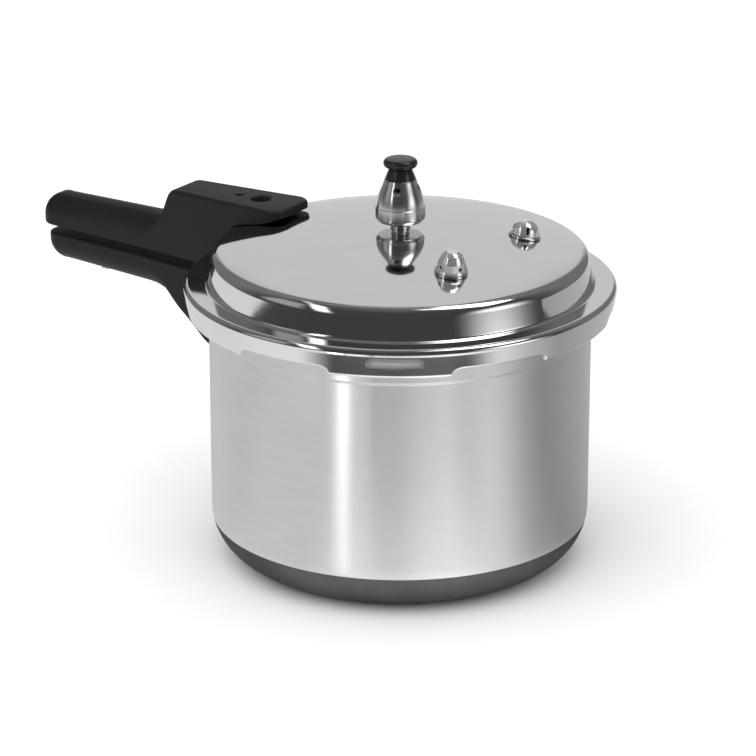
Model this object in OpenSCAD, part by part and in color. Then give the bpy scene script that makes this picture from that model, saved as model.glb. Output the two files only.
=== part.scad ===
// Pressure canner: drawn pot, bayonet lid, paired side handles, weight regulator,
// two safety valves and a pressure indicator pin.
// Origin: centre of the flat underside. +Z is up and the handles point along -X.

/* [Pot] */
// Outer radius of the pot wall
pot_r = 110; // [109.5:0.1:110.2]
// Thickness of the pot wall
wall_t = 2.4; // [2:0.1:3]
// Thickness of the pot base
base_t = 3.6; // [2.5:0.1:5]
// Radius of the rounding between base and wall
base_round = 30; // [24:1:34]
// Height at which the wall steps out under the rim
step_z = 140.4; // [140.2:0.1:142]
// How far the wall steps out under the rim
step_out = 1.4; // [1:0.1:1.8]
// Height of the pot's sealing rim
rim_z = 157.4; // [156.8:0.1:157.5]
// Radius of the bayonet tabs on the pot
tab_r = 118.3; // [117:0.1:119]
// Angle that one pot tab covers
tab_angle = 28; // [24:1:28]

/* [Lid] */
// Sheet thickness of the lid
lid_t = 1.9; // [1.5:0.1:1.9]
// Height of the lid's crown
dome_top_z = 196.5; // [196:0.1:197]
// Sphere radius of the domed lid top
dome_sphere_r = 440; // [430:5:450]
// Radius of the rounded shoulder
shoulder_round = 7; // [6.9:0.1:7]
// Height of the flat ring around the shoulder
ledge_z = 165.4; // [165.2:0.1:165.6]
// Height of the skirt edge between lugs
skirt_z = 152.5; // [152:0.1:153]
// Height of the lower face of the lugs
lug_z = 148.3; // [148.2:0.1:148.6]
// Number of bayonet lugs
lug_count = 6; // [6:1:6]
// Angle that one lid lug covers
lug_angle = 30.5; // [29:0.5:31]
// Length of the gasket window in the front lug
window_len = 31.6; // [20:0.1:32]
// Height of the gasket window
window_h = 5.8; // [4:0.1:6]

/* [Handles] */
// Distance from the pot axis to the end of the lid handle
grip_end_r = 252; // [248:1:256]
// Half width of the grips
grip_half_w = 13; // [12.6:0.1:14]
// Height of the flat top of the lid handle
block_top_z = 197; // [196.5:0.1:198]
// Half width of the front end of the lid handle
block_nose_w = 18.5; // [18:0.1:19]
// Radius of the two corners at the front end of the lid handle
block_corner_r = 9; // [7:0.5:11]
// Radius of the indicator hole
indicator_hole_r = 5.5; // [5.3:0.1:6]

/* [Regulator] */
// Radius of the regulator weight
weight_r = 14.4; // [13.5:0.1:15]
// Height of the regulator weight's lower face
weight_z = 200.7; // [200.6:0.1:200.9]
// Radius of the steam holes in the weight
steam_hole_r = 2.15; // [1.5:0.05:2.3]
// Radius of the regulator knob
knob_r = 9.8; // [9:0.1:10.5]

/* [Valves] */
// Distance of both valves from the pot axis
valve_r = 71; // [68:1:73]
// Angle of each valve from the +X direction
valve_az = 34; // [30:1:40]

/* [Rack] */
// Radius of the canning rack
rack_r = 95; // [90:1:98]
// Height of the rack plate above the table
rack_z = 16; // [14:1:20]

/* [Hidden] */
$fn = 96;

// Materials' colours
polished = "gainsboro";
satin = "silver";
chromed = "lightgray";
phenolic = [0.13, 0.13, 0.13];
steel = "darkgray";
silicone = [0.82, 0.82, 0.8];

// Shared clearances
fit_gap = 0.1;
seat_gap = 0.05;
hug_gap = 0.35;

// Pot, derived
pot_in_r = pot_r - wall_t;
tab_z = 151.2;
neck_r = 113.4;
lug_pitch = 360 / lug_count;

// Lid, derived: every offset of the lid surface shares these arc centres
dome_cz = dome_top_z - dome_sphere_r;
shoulder_cr = 101.8;
shoulder_cz = dome_cz + sqrt(pow(dome_sphere_r - shoulder_round, 2) - pow(shoulder_cr, 2));
shoulder_a = atan2(shoulder_cz - dome_cz, shoulder_cr);
wall_a = 9;
foot_round = 2.2;
foot_cz = ledge_z + foot_round;
foot_cr = shoulder_cr + (shoulder_round + foot_round) / cos(wall_a)
    + (shoulder_cz - foot_cz) * tan(wall_a);
rim_round = 3.2;
rim_cr = 121;
rim_cz = ledge_z - rim_round;
skirt_a = 9.8;
rim_r = rim_cr + rim_round;
lip_in_r = 114.4;
lip_t = 1.8;
window_az = -58.7;
window_z = 157.4;

// Handles, derived
indicator_r = 97;
block_nose_end = 72;
block_half_w = 14;
block_end_r = 150.3;
lid_grip_top_z = 178.3;
lid_grip_low_z = 154.6;
lid_grip_end_z = 159.5;
// concave sweep from the block down to the grip, and the grip's half-round back
sweep_r = 13;
sweep_len = 21.4;
crown_r = 14.1;
tongue_half_w = 10;
tongue_t = 2.5;
lid_tongue_z = 167.7;
lid_tongue_end = 222;
lid_leg_r = 110.8;
lid_leg_t = 2.3;
lid_leg_top = 177;
lid_rivet_in_r = 106.2;
lid_rivet_z = 173.8;
lid_rivet_head_r = 3.1;
pot_rivet_head_r = 4;
rivet_head_t = 1.5;
rivet_y = 6.5;
rivet_hole_r = 2.1;
rivet_r = 2;
lid_screw_r = [165, 214];
screw_r = 2.4;
screw_hole_r = 2.5;
screw_head_r = 4.2;
sink_r = 4.6;
pot_plate_t = 2.4;
pot_plate_z = [104, 139.9];
pot_plate_half_a = 7;
pot_tongue_z = 137.4;
pot_tongue_a = 2.2;
pot_tongue_len = 112;
pot_screw_x = [60, 100];
pot_rivet_z = [111, 127];
// upper face of the pot handle: under the lid's rim, then at both ends of the grip
pot_root_top_z = 147.2;
pot_grip_top_z = [150.1, 154.8];
pot_grip_cut = 3.5;
pot_grip_belly_z = 132.2;
belly_a = 4.7;
belly_r = 14.5;
flare_r = 14;
flare_x = 161;
flare_foot = [[138, 117], [128, 108], [pot_r + 1, 98]];

// Vent and regulator, derived
vent_hole_r = 4.35;
vent_thread_r = 4.2;
vent_stem_r = 4;
nozzle_top_z = 214.6;
cone_top_z = 225.3;
cone_top_r = 9.1;
collar_top_z = 232;
knob_round = 2.65;
steam_hole_z = 220.4;
steam_hole_az = -69;

// Rack, derived; each row of holes is [radius of the row, number of holes, hole radius]
rack_t = 1.5;
rack_centre_r = 9;
rack_rows = [[28, 8, 5], [52, 14, 5], [77, 22, 4.5]];
rack_foot_r = 5;
rack_foot_at = 64;

// Valves, derived
valve_hole_r = 4.75;
valve_stem_r = 4.6;
valve_seat_h = 3;
valve_flange_r = 9.3;
valve_nut_r = 8.2;
relief_cap_h = 13.1;
safety_cap_r = 8;

// Indicator, derived
pin_hole_r = 4;
pin_r = 1.55;

// ---------------------------------------------------------------- helpers

// Points on a circular arc from angle a0 to a1
function arc(cx, cy, r, a0, a1, n) =
    [for (i = [0:n]) let (a = a0 + (a1 - a0) * i / n) [cx + r * cos(a), cy + r * sin(a)]];

function reversed(list) = [for (i = [len(list) - 1:-1:0]) list[i]];

// Lid section from the axis to the rim, moved inwards by the offset
function lid_curve(inset, end_a) = concat(
    arc(0, dome_cz, dome_sphere_r - inset, 90, shoulder_a, 16),
    arc(shoulder_cr, shoulder_cz, shoulder_round - inset, shoulder_a, wall_a, 9),
    arc(foot_cr, foot_cz, foot_round + inset, 180 + wall_a, 270, 6),
    arc(rim_cr, rim_cz, rim_round - inset, 90, end_a, 7));

// Radius of the tapered skirt at height z, moved inwards by the offset
function skirt_r(z, inset) =
    rim_cr + (rim_round - inset) / cos(skirt_a) - (rim_cz - z) * tan(skirt_a);

module lathe(points) {
    rotate_extrude($fn = 180) polygon(points);
}

module ring(r_in, r_out, z0, z1) {
    difference() {
        translate([0, 0, z0]) cylinder(r = r_out, h = z1 - z0);
        translate([0, 0, z0 - 1]) cylinder(r = r_in, h = z1 - z0 + 2);
    }
}

// Arc-shaped bar around the pot axis, centred on azimuth az
module sector(az, angle, points) {
    rotate([0, 0, az - angle / 2]) rotate_extrude(angle = angle, $fn = 180) polygon(points);
}

// Frame with +X pointing along the handle direction
module handle_side() {
    mirror([1, 0, 0]) children();
}

// Side outline (radius, height) pulled symmetrically along Y
module side_bar(points, width) {
    handle_side() rotate([90, 0, 0])
        linear_extrude(height = width, center = true) polygon(points);
}

// Plan outline (radius, y) pulled along Z
module plan_bar(points, z0, z1) {
    handle_side() translate([0, 0, z0]) linear_extrude(height = z1 - z0) polygon(points);
}

// Upright frame of a handle rivet or hole: +Z points outwards along the handle
module along_handle(y, z) {
    handle_side() translate([0, y, z]) rotate([0, 90, 0]) children();
}

// Frame standing on the dome at distance r from the axis, +Z square to the sheet
module on_dome(az, r) {
    rotate([0, 0, az]) translate([0, 0, dome_cz])
        rotate([0, asin(r / dome_sphere_r), 0]) translate([0, 0, dome_sphere_r]) children();
}

// Slotted cheese-head screw pointing up, with the head's upper face at z = 0
module screw_up(shank) {
    difference() {
        translate([0, 0, -2.8]) cylinder(r = screw_head_r, h = 2.8);
        translate([-0.6, -5, -3]) cube([1.2, 10, 1.2]);
    }
    translate([0, 0, -0.5]) cylinder(r = screw_r, h = shank + 0.5);
}

// Rivet along +Z with a flat head at each end of the grip length
module rivet(z_in, z_out, head_r) {
    translate([0, 0, z_in - rivet_head_t]) cylinder(r = head_r, h = rivet_head_t);
    translate([0, 0, z_in - 0.5]) cylinder(r = rivet_r, h = z_out - z_in + 1);
    translate([0, 0, z_out]) cylinder(r = head_r, h = rivet_head_t);
}

module hex_nut(z0, z1, across_r, hole_r) {
    difference() {
        translate([0, 0, z0]) cylinder(r = across_r, h = z1 - z0, $fn = 6);
        translate([0, 0, z0 - 1]) cylinder(r = hole_r, h = z1 - z0 + 2);
    }
}

// Round wire coil, swept as one closed mesh
module coil(mean_r, wire_r, height, turns) {
    sides = 8;
    steps = 14;
    count = turns * steps;
    rise = (height - 2 * wire_r) / count;
    points = [for (i = [0:count], j = [0:sides - 1])
        let (a = 360 * i / steps, b = 360 * j / sides, r = mean_r + wire_r * cos(b))
        [r * cos(a), r * sin(a), wire_r + rise * i + wire_r * sin(b)]];
    walls = [for (i = [0:count - 1], j = [0:sides - 1], k = [0:1])
        let (a = i * sides + j, b = i * sides + (j + 1) % sides)
        k == 0 ? [a, a + sides, b + sides] : [a, b + sides, b]];
    first_cap = [[for (j = [0:sides - 1]) j]];
    last_cap = [[for (j = [sides - 1:-1:0]) count * sides + j]];
    polyhedron(points, concat(walls, first_cap, last_cap), convexity = 10);
}

// ---------------------------------------------------------------- pot

module pot_section() {
    flat_r = pot_r - base_round;
    in_round = base_round - base_t;
    polygon(concat(
        [[0, 0]],
        arc(flat_r, base_round, base_round, -90, 0, 14),
        [[pot_r, step_z], [pot_r + step_out, step_z + 0.9],
         [pot_r + step_out, tab_z], [neck_r, tab_z],
         [neck_r, rim_z - 1.2], [neck_r - 1.2, rim_z],
         [pot_in_r + 1.2, rim_z], [pot_in_r, rim_z - 1.2]],
        arc(pot_in_r - in_round, base_round, in_round, 0, -90, 14),
        [[0, base_t]]));
}

module pot_body() {
    tab = [[neck_r - 1, tab_z], [tab_r - 1, tab_z], [tab_r, tab_z + 1],
        [tab_r, rim_z - 1.2], [tab_r - 1.2, rim_z], [neck_r - 1, rim_z]];
    color(satin) difference() {
        union() {
            rotate_extrude($fn = 180) pot_section();
            for (i = [0:lug_count - 1]) sector(i * lug_pitch, tab_angle, tab);
        }
        for (y = [-rivet_y, rivet_y], z = pot_rivet_z)
            along_handle(y, z) cylinder(r = rivet_hole_r, h = pot_r + 5);
    }
}

// Frame of the sloping pot tongue, +X outwards and +Z up
module pot_tongue_frame() {
    handle_side() translate([pot_r, 0, pot_tongue_z]) rotate([0, -pot_tongue_a, 0]) children();
}

module pot_bracket() {
    in_r = pot_r + seat_gap;
    out_r = in_r + pot_plate_t;
    plate = [[in_r, pot_plate_z[0]], [out_r, pot_plate_z[0]],
        [out_r, pot_plate_z[1]], [in_r, pot_plate_z[1]]];
    color(steel) difference() {
        union() {
            sector(180, 2 * pot_plate_half_a, plate);
            pot_tongue_frame() translate([1.5, -tongue_half_w, 0])
                cube([pot_tongue_len - 1.5, 2 * tongue_half_w, tongue_t]);
        }
        for (y = [-rivet_y, rivet_y], z = pot_rivet_z)
            along_handle(y, z) cylinder(r = rivet_hole_r, h = pot_r + 8);
        for (x = pot_screw_x)
            pot_tongue_frame() translate([x, 0, -2]) cylinder(r = screw_hole_r, h = 8);
    }
}

module pot_bracket_rivets() {
    color(steel) for (y = [-rivet_y, rivet_y], z = pot_rivet_z)
        along_handle(y, z) rivet(pot_in_r - 0.6, pot_r + 2 * seat_gap + pot_plate_t, pot_rivet_head_r);
}

// Plan of a grip: root half width, then an even grip with rounded end corners
function grip_plan(root_r, root_w, blend_r, end_r) = concat(
    [[root_r, -root_w], [blend_r, -grip_half_w - 0.4]],
    arc(end_r - 9, -grip_half_w + 9, 9, -90, 0, 6),
    arc(end_r - 9, grip_half_w - 9, 9, 0, 90, 6),
    [[blend_r, grip_half_w + 0.4], [root_r, root_w]]);

module pot_handle() {
    end_r = grip_end_r - pot_grip_cut;
    top = pot_grip_top_z;
    belly = pot_grip_belly_z;
    side = concat(
        [[pot_r + 1, pot_root_top_z], [rim_r + 1, pot_root_top_z], [rim_r + 1.4, top[0]],
         [end_r - 2, top[1]]],
        arc(end_r - 2, top[1] - 2, 2, 90, 0, 3),
        arc(end_r - 9, belly + 14.1, 9, 0, -90, 6),
        [[flare_x + 2, belly]],
        arc(flare_x, belly - flare_r, flare_r, 90, 150, 6),
        flare_foot);
    color(phenolic) difference() {
        intersection() {
            side_bar(side, 60);
            plan_bar(grip_plan(pot_r, 18, 170, end_r), 90, 160);
            union() {
                // square-sided foot, then a grip with a half-round belly
                handle_side() translate([100, -30, 90]) cube([64, 60, 70]);
                handle_side() translate([156, 0, belly - 1.7]) rotate([0, -belly_a, 0])
                    rotate([90, 0, 90]) linear_extrude(height = 103) union() {
                        translate([0, belly_r]) circle(r = belly_r);
                        translate([-20, belly_r]) square([40, 30]);
                    }
            }
        }
        // hollow for the wall, the plate and the rivet heads
        cylinder(r = pot_r + 0.6, h = 160);
        translate([0, 0, step_z - 1]) cylinder(r = pot_r + step_out + 0.6, h = 30);
        handle_side() translate([pot_r - 5, -14.6, pot_plate_z[0] - 0.6]) cube([11, 29.2, 37]);
        // pocket for the tongue
        pot_tongue_frame() translate([-5, -tongue_half_w - 0.3, -0.3])
            cube([pot_tongue_len + 7, 2 * tongue_half_w + 0.6, tongue_t + 0.6]);
        for (x = pot_screw_x) pot_tongue_frame() translate([x, 0, 0]) {
            translate([0, 0, -30]) cylinder(r = sink_r, h = 30 - 3.2);
            translate([0, 0, -10]) cylinder(r = screw_hole_r + 0.2, h = 17.5);
        }
    }
}

module pot_handle_screws() {
    color(steel) for (x = pot_screw_x)
        pot_tongue_frame() translate([x, 0, -3.3]) screw_up(10);
}

// ---------------------------------------------------------------- rack

module canning_rack() {
    color(polished) difference() {
        translate([0, 0, rack_z]) cylinder(r = rack_r, h = rack_t);
        translate([0, 0, rack_z - 1]) cylinder(r = rack_centre_r, h = 4);
        for (row = rack_rows, i = [0:row[1] - 1])
            rotate([0, 0, (i + 0.5) * 360 / row[1]]) translate([row[0], 0, rack_z - 1])
                cylinder(r = row[2], h = 4, $fn = 32);
    }
}

module rack_feet() {
    color(polished) for (i = [0:2])
        rotate([0, 0, 120 * i + 30]) translate([rack_foot_at, 0, base_t + 0.3])
            cylinder(r = rack_foot_r, h = rack_z - base_t - 0.32);
}

// ---------------------------------------------------------------- lid

module sealing_gasket() {
    out_r = 121;
    in_r = pot_in_r + 1.8;
    low = rim_z + 0.3;
    high = ledge_z - lid_t - 0.4;
    // outer skirt that hangs behind the gasket window, outside the pot's tabs
    skirt_in = tab_r + 0.3;
    skirt_out = 120.4;
    skirt_low = 153.9;
    color(silicone) lathe([[in_r, low], [skirt_in, low], [skirt_in, skirt_low],
        [skirt_out, skirt_low], [skirt_out, low - 0.4], [out_r, low - 0.1],
        [out_r, high - 0.8], [out_r - 0.8, high], [in_r + 4, high], [in_r + 0.8, high - 1.2],
        [in_r + 0.8, high - 2], [in_r + 5.4, high - 2.6], [in_r + 5.4, high - 3],
        [in_r, high - 3.3]]);
}

module lid_skin() {
    lip_z = lug_z + lip_t;
    outer = concat(lid_curve(0, -skirt_a), [[skirt_r(lug_z + 1, 0), lug_z + 1],
        [skirt_r(lug_z, 0) - 0.9, lug_z]]);
    lip = [[lip_in_r, lug_z], [lip_in_r, lip_z], [skirt_r(lip_z, lid_t), lip_z]];
    inner = reversed(lid_curve(lid_t, -skirt_a));
    lathe(concat(outer, lip, inner));
}

// Gap between two lugs, as high as the skirt's edge
module lug_gap(az) {
    sector(az, lug_pitch - lug_angle, [[lip_in_r - 4, lug_z - 5], [rim_r + 6, lug_z - 5],
        [rim_r + 6, skirt_z], [lip_in_r - 4, skirt_z]]);
}

module lid_window() {
    reach = window_len / 2 - window_h / 2;
    rotate([0, 0, window_az]) translate([rim_r - 6, 0, window_z]) rotate([0, 90, 0]) {
        translate([-window_h / 2, -reach, 0]) cube([window_h, 2 * reach, 12]);
        for (y = [-reach, reach]) translate([0, y, 0]) cylinder(r = window_h / 2, h = 12);
    }
}

module lid_shell() {
    color(polished) difference() {
        lid_skin();
        for (i = [0:lug_count - 1]) lug_gap((i + 0.5) * lug_pitch);
        lid_window();
        translate([0, 0, dome_top_z - 10]) cylinder(r = vent_hole_r, h = 20);
        for (az = [-valve_az, valve_az])
            on_dome(az, valve_r) translate([0, 0, -10]) cylinder(r = valve_hole_r, h = 20);
        translate([-indicator_r, 0, 170]) cylinder(r = pin_hole_r, h = 30);
        for (y = [-rivet_y, rivet_y])
            along_handle(y, lid_rivet_z) translate([0, 0, 90]) cylinder(r = rivet_hole_r, h = 30);
    }
}

module lid_bracket() {
    out_r = lid_leg_r + lid_leg_t;
    leg = [[lid_leg_r, lid_tongue_z], [out_r, lid_tongue_z], [out_r, lid_leg_top],
        [lid_leg_r, lid_leg_top]];
    color(steel) difference() {
        union() {
            sector(180, 12, leg);
            handle_side() translate([lid_leg_r + 1, -tongue_half_w, lid_tongue_z])
                cube([lid_tongue_end - lid_leg_r - 1, 2 * tongue_half_w, tongue_t]);
        }
        for (y = [-rivet_y, rivet_y])
            along_handle(y, lid_rivet_z) cylinder(r = rivet_hole_r, h = 125);
        for (r = lid_screw_r)
            handle_side() translate([r, 0, lid_tongue_z - 2]) cylinder(r = screw_hole_r, h = 8);
    }
}

module lid_bracket_rivets() {
    color(steel) for (y = [-rivet_y, rivet_y])
        along_handle(y, lid_rivet_z)
            rivet(lid_rivet_in_r, lid_leg_r + lid_leg_t + seat_gap, lid_rivet_head_r);
}

// Solid that the lid fills, grown by the clearance kept under the handle
module lid_envelope() {
    lathe(concat([[0, 130]], lid_curve(-hug_gap, 0), [[rim_r + hug_gap, 130]]));
}

module lid_handle() {
    nose = block_nose_end;
    corner = block_corner_r;
    top = block_top_z;
    block_side = concat(
        [[nose, 150]],
        arc(nose + 3, top - 3, 3, 180, 90, 4),
        arc(block_end_r, top - 7, 7, 90, 25, 4),
        arc(block_end_r + sweep_len, lid_grip_top_z + sweep_r, sweep_r, 205, 270, 6),
        [[block_end_r + sweep_len, lid_grip_low_z + 1.8], [rim_r + 1, lid_grip_low_z]],
        [[rim_r - 5, 150]]);
    grip_side = concat(
        [[block_end_r, lid_grip_top_z]],
        arc(grip_end_r - 12, lid_grip_top_z - 12, 12, 90, 0, 7),
        arc(grip_end_r - 2, lid_grip_end_z + 2, 2, 0, -90, 3),
        [[block_end_r, lid_grip_low_z + 1]]);
    block_plan = concat(
        arc(nose + corner, corner - block_nose_w, corner, 270, 180, 6),
        arc(nose + corner, block_nose_w - corner, corner, 180, 90, 6),
        [[block_end_r, block_half_w], [block_end_r + 22, grip_half_w],
         [block_end_r + 22, -grip_half_w], [block_end_r, -block_half_w]]);
    color(phenolic) difference() {
        union() {
            intersection() {
                side_bar(block_side, 60);
                plan_bar(block_plan, 140, 200);
            }
            intersection() {
                side_bar(grip_side, 60);
                plan_bar(grip_plan(block_end_r, block_half_w, block_end_r + 20, grip_end_r),
                    140, 200);
                // half-round back along the grip
                handle_side() translate([block_end_r - 1, 0, lid_grip_top_z - crown_r])
                    rotate([90, 0, 90]) linear_extrude(height = 110) union() {
                        circle(r = crown_r);
                        translate([-20, -30]) square([40, 30]);
                    }
            }
        }
        lid_envelope();
        translate([-indicator_r, 0, 150]) cylinder(r = indicator_hole_r, h = 60);
        // pocket for the bracket's leg and rivet heads
        handle_side() translate([lid_leg_r - 3, -13, 164]) cube([9, 26, 13.6]);
        handle_side() translate([lid_leg_r - 3, -tongue_half_w - 0.4, lid_tongue_z - 0.3])
            cube([lid_tongue_end - lid_leg_r + 5, 2 * tongue_half_w + 0.8, tongue_t + 0.6]);
        for (r = lid_screw_r) handle_side() {
            translate([r, 0, 140]) cylinder(r = sink_r, h = lid_tongue_z - 5.6 - 140);
            translate([r, 0, 150]) cylinder(r = screw_hole_r + 0.2, h = 24.6);
        }
    }
}

module lid_handle_screws() {
    color(steel) for (r = lid_screw_r)
        handle_side() translate([r, 0, lid_tongue_z - 5.7]) screw_up(12);
}

// ---------------------------------------------------------------- vent

module vent_pipe() {
    base = dome_top_z + seat_gap;
    color(chromed) lathe([
        [1.1, 184], [vent_thread_r, 184], [vent_thread_r, base], [5.6, base],
        [5.6, base + 1.3], [4.6, base + 1.7], [4.6, base + 2.3], [5.2, base + 2.7],
        [5.2, base + 3.7], [vent_stem_r, base + 4.2], [vent_stem_r, 211],
        [1.9, nozzle_top_z], [1.1, nozzle_top_z]]);
}

module vent_washer() {
    color(silicone) ring(vent_thread_r + fit_gap, 8, dome_top_z - lid_t - 1.8,
        dome_top_z - lid_t - 0.15);
}

module vent_nut() {
    color(chromed) hex_nut(188.2, dome_top_z - lid_t - 1.9, valve_nut_r,
        vent_thread_r + seat_gap);
}

// ---------------------------------------------------------------- regulator

module regulator_clip() {
    color(steel) ring(vent_stem_r + 0.3, 5.15, weight_z + 2.4, weight_z + 3.6);
}

module regulator_weight() {
    band_z = weight_z + 8.6;
    color(chromed) difference() {
        lathe(concat(
            [[5.5, weight_z], [weight_r - 1.6, weight_z], [weight_r - 0.3, weight_z + 0.9],
             [weight_r, weight_z + 1.8], [weight_r, band_z]],
            [for (i = [1:6]) let (t = i / 6)
                [weight_r - 0.3 - (weight_r - 0.3 - cone_top_r) * t + 1.1 * sin(180 * t) * (1 - t),
                 band_z + (cone_top_z - band_z) * t]],
            [[3.1, cone_top_z], [3.1, 222.6], [4.7, 222.6], [4.7, 214], [5.5, 214]]));
        for (i = [0:3])
            rotate([0, 0, steam_hole_az + 90 * i]) translate([3.5, 0, steam_hole_z])
                rotate([0, 90, 0]) cylinder(r = steam_hole_r, h = 12);
        rotate([0, 0, steam_hole_az - 56]) translate([5, 0, band_z - 0.4])
            rotate([0, 90, 0]) cylinder(r = 1.1, h = 12);
    }
}

module regulator_needle() {
    color(steel) lathe([[0, nozzle_top_z + 0.3], [0.5, nozzle_top_z + 0.3], [1.5, 216.4],
        [1.5, 222.7], [3, 222.7], [3, 228.8], [0, 228.8]]);
}

module regulator_collar() {
    color(phenolic) lathe([[3.1, cone_top_z + seat_gap], [cone_top_r, cone_top_z + seat_gap],
        [6.2, collar_top_z], [2.4, collar_top_z], [2.4, 229], [3.1, 229]]);
}

module regulator_knob() {
    low = collar_top_z + seat_gap;
    color(phenolic) lathe(concat(
        [[0, 229.1], [2.3, 229.1], [2.3, low]],
        arc(knob_r - knob_round, low + knob_round, knob_round, -90, 90, 12),
        [[0, low + 2 * knob_round + 0.15]]));
}

// ---------------------------------------------------------------- valves

module valve_seat() {
    flange = valve_flange_r;
    lathe([[1.8, -9], [valve_stem_r, -9], [valve_stem_r, seat_gap], [flange, seat_gap + 0.1],
        [flange, 1.2], [flange - 0.25, 1.45], [4.4, 1.45], [3.6, valve_seat_h],
        [1.8, valve_seat_h]]);
}

module valve_washer() {
    ring(valve_stem_r + fit_gap, 8.5, -lid_t - 1.7, -lid_t - 0.15);
}

module valve_nut() {
    hex_nut(-lid_t - 6, -lid_t - 1.8, valve_nut_r, valve_stem_r + seat_gap);
}

module valve_poppet(disc_h, pin_top) {
    low = valve_seat_h + fit_gap;
    lathe([[0, 1], [1.3, 1], [1.5, 1.4], [1.5, low], [3.8, low], [3.8, low + disc_h],
        [1.1, low + disc_h], [1.1, pin_top], [0, pin_top]]);
}

module relief_at() {
    on_dome(-valve_az, valve_r) children();
}

module safety_at() {
    on_dome(valve_az, valve_r) children();
}

module relief_cap() {
    color(chromed) relief_at() difference() {
        lathe(concat(
            [[7.9, 1.5], [8.9, 1.5], [8.9, 2.3], [8.6, 2.9]],
            arc(2.8, relief_cap_h - 2.7, 2.7, 18, 90, 6),
            [[0, relief_cap_h], [0, relief_cap_h - 1.2], [2.8, relief_cap_h - 1.2],
             [4.3, relief_cap_h - 2.7], [7.7, 2.6]]));
        for (i = [0:3])
            rotate([0, 0, 13 + 90 * i]) translate([4, 0, 5]) rotate([0, 90, 0])
                cylinder(r = 1.05, h = 8);
    }
}

module safety_cap() {
    color(chromed) safety_at() difference() {
        lathe(concat(
            [[7.1, 1.5], [8.3, 1.5], [8.3, 2.1]],
            arc(0, 1.9, safety_cap_r, 5, 90, 10),
            arc(0, 1.9, safety_cap_r - 1.1, 90, 0, 10)));
        for (i = [0:3])
            rotate([0, 0, 5 + 90 * i]) translate([4, -0.8, 3]) cube([8, 1.6, 4.2]);
    }
}

module relief_seat() { color(chromed) relief_at() valve_seat(); }

module safety_seat() { color(chromed) safety_at() valve_seat(); }

module relief_washer() { color(silicone) relief_at() valve_washer(); }

module safety_washer() { color(silicone) safety_at() valve_washer(); }

module relief_nut() { color(chromed) relief_at() valve_nut(); }

module safety_nut() { color(chromed) safety_at() valve_nut(); }

module relief_poppet() { color(steel) relief_at() valve_poppet(1.8, 9); }

module safety_poppet() { color(steel) safety_at() valve_poppet(1.2, 6.6); }

module relief_spring() {
    color(steel) relief_at() translate([0, 0, 4.95]) coil(2.6, 0.4, 6.9, 5);
}

module safety_spring() {
    color(steel) safety_at() translate([0, 0, 4.35]) coil(2.4, 0.35, 4, 4);
}

// ---------------------------------------------------------------- indicator

module pin_grommet() {
    color(silicone) difference() {
        translate([-indicator_r, 0, 181.4]) cylinder(r = 4.6, h = 6.2);
        difference() {
            translate([0, 0, dome_cz]) sphere(r = dome_sphere_r + 0.04);
            translate([0, 0, dome_cz]) sphere(r = dome_sphere_r - lid_t - 0.08);
            translate([-indicator_r, 0, 170]) cylinder(r = pin_hole_r - seat_gap, h = 30);
        }
        translate([-indicator_r, 0, 170]) cylinder(r = pin_r + fit_gap, h = 30);
    }
}

module pressure_pin() {
    color(steel) translate([-indicator_r, 0, 0]) lathe([
        [0, 174.4], [pin_r, 174.4], [pin_r, 175.4], [1.1, 175.4], [1.1, 176.4],
        [pin_r, 176.4], [pin_r, 187.9], [3.2, 187.9], [3.2, 189.4], [2.4, 190.2], [0, 190.2]]);
}

module pin_clip() {
    color(steel) translate([-indicator_r, 0, 0]) ring(1.12, 2.8, 175.45, 176.35);
}

// ---------------------------------------------------------------- nodes

pot_body();
pot_bracket();
pot_bracket_rivets();
pot_handle();
pot_handle_screws();
canning_rack();
rack_feet();
sealing_gasket();
lid_shell();
lid_bracket();
lid_bracket_rivets();
lid_handle();
lid_handle_screws();
vent_pipe();
vent_washer();
vent_nut();
regulator_clip();
regulator_weight();
regulator_needle();
regulator_collar();
regulator_knob();
relief_seat();
relief_washer();
relief_nut();
relief_cap();
relief_poppet();
relief_spring();
safety_seat();
safety_washer();
safety_nut();
safety_cap();
safety_poppet();
safety_spring();
pin_grommet();
pressure_pin();
pin_clip();
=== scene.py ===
import math

import bmesh
import bpy
from mathutils import Matrix, Vector


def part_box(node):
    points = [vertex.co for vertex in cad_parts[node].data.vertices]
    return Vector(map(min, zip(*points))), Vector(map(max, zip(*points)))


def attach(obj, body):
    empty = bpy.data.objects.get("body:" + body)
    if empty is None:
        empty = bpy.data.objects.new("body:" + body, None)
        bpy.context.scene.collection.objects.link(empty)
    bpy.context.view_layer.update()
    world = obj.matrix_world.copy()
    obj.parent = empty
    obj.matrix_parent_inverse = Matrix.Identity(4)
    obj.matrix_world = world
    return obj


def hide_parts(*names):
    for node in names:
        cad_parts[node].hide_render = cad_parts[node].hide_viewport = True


# Looks of the pressure canner. Shapes are worked out in millimetres in the frame of the CAD
# model: Z is the pot's axis, the handles point along -X. Meshes are stored in metres.

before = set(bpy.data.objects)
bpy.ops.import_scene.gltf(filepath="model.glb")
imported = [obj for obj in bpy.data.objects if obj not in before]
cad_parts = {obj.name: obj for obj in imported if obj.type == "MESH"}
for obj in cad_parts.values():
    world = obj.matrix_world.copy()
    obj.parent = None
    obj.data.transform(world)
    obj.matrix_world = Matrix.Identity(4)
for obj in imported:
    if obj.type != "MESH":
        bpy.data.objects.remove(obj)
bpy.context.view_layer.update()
MM = 0.001


def box_mm(node):
    low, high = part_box(node)
    return low / MM, high / MM


# ------------------------------------------------------------------ driving dimensions

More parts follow.
